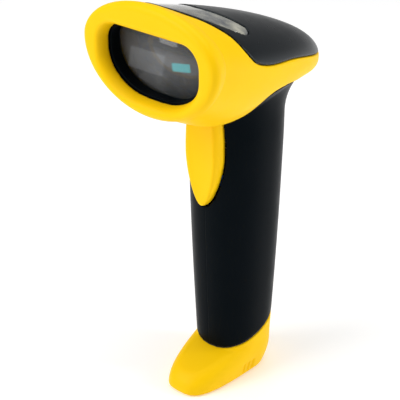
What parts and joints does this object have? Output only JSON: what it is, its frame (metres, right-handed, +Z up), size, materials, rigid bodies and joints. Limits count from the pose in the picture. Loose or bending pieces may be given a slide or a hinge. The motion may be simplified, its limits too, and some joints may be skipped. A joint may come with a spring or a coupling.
{
  "type": "handheld barcode scanner",
  "caption": "Gun-shaped cordless barcode scanner: flared oval scan head with a sloping window, long handle, swinging trigger and a toed foot it stands on.",
  "frame": {"origin": "on the floor, under the handle's axis, at the middle of the foot's resting face", "axes": "+Z up along the handle, -Y towards the nose and the window, +X to the scanner's left-hand casing half as seen from behind"},
  "size_m": [0.0732, 0.1058, 0.1896],
  "materials": {
    "yellow_casing": "satin moulded",
    "black_casing": "fine moulded texture",
    "rubber": "matte",
    "smoked_plastic": "polished, smoked",
    "clear_plastic": "polished, clear",
    "steel": "bright zinc",
    "gold_plate": "polished",
    "circuit_board": "solder mask",
    "chip": "moulded epoxy",
    "coated_glass": "teal coating",
    "mirror": "silvered",
    "lens_glass": "polished",
    "cell_wrap": "shrink sleeve",
    "red_wire": "insulation",
    "white_plastic": "moulded"
  },
  "bodies": {
    "casing": {"nose_shroud": "yellow_casing", "base_cap": "yellow_casing", "top_cover": "black_casing", "handle_left": "black_casing", "handle_right": "black_casing", "window_frame": "black_casing", "contact_block": "black_casing", "battery_cradle": "black_casing", "inner_frame": "black_casing", "optics_chassis": "black_casing", "lens_barrel": "black_casing", "window_gasket": "rubber", "base_seal": "rubber", "battery_wire_black": "rubber", "status_lens": "smoked_plastic", "window_pane": "smoked_plastic", "light_pipe": "clear_plastic", "light_bar": "clear_plastic", "shell_screw_upper": "steel", "shell_screw_middle": "steel", "shell_screw_lower": "steel", "trigger_pin": "steel", "trigger_spring": "steel", "base_screw": "steel", "battery_contact": "steel", "battery_spring": "steel", "board_screw_left": "steel", "board_screw_right": "steel", "radio_module": "steel", "charge_contact_left": "gold_plate", "charge_contact_right": "gold_plate", "trigger_board": "circuit_board", "charge_board": "circuit_board", "main_board": "circuit_board", "sensor_board": "circuit_board", "led_board": "circuit_board", "trigger_switch": "chip", "decoder_chip": "chip", "memory_chip": "chip", "beeper": "chip", "image_sensor": "chip", "optical_filter": "coated_glass", "fold_mirror": "mirror", "objective_lens": "lens_glass", "battery_cell": "cell_wrap", "battery_wire_red": "red_wire", "antenna": "white_plastic", "status_led": "white_plastic", "battery_connector": "white_plastic", "led_1": "white_plastic", "led_2": "white_plastic", "led_3": "white_plastic", "led_4": "white_plastic"},
    "trigger": {"trigger": "yellow_casing"},
    "plunger": {"switch_plunger": "white_plastic"}
  },
  "joints": [
    {"name": "trigger_pull", "type": "hinge", "parent": "casing", "child": "trigger", "pos_m": [0, -0.0136, 0.1245], "axis": [1, 0, 0], "range_deg": [0, 3.2], "stiffness_Nm_per_rad": 0.05, "deforming": ["trigger_spring"]},
    {"name": "plunger_slide", "type": "slide", "parent": "casing", "child": "plunger", "axis": [0, 1, 0], "range_m": [0, 0.001]}
  ],
  "couplings": [
    {"joint": "plunger_slide", "follows": "trigger_pull", "m_per_rad": 0.0175}
  ]
}
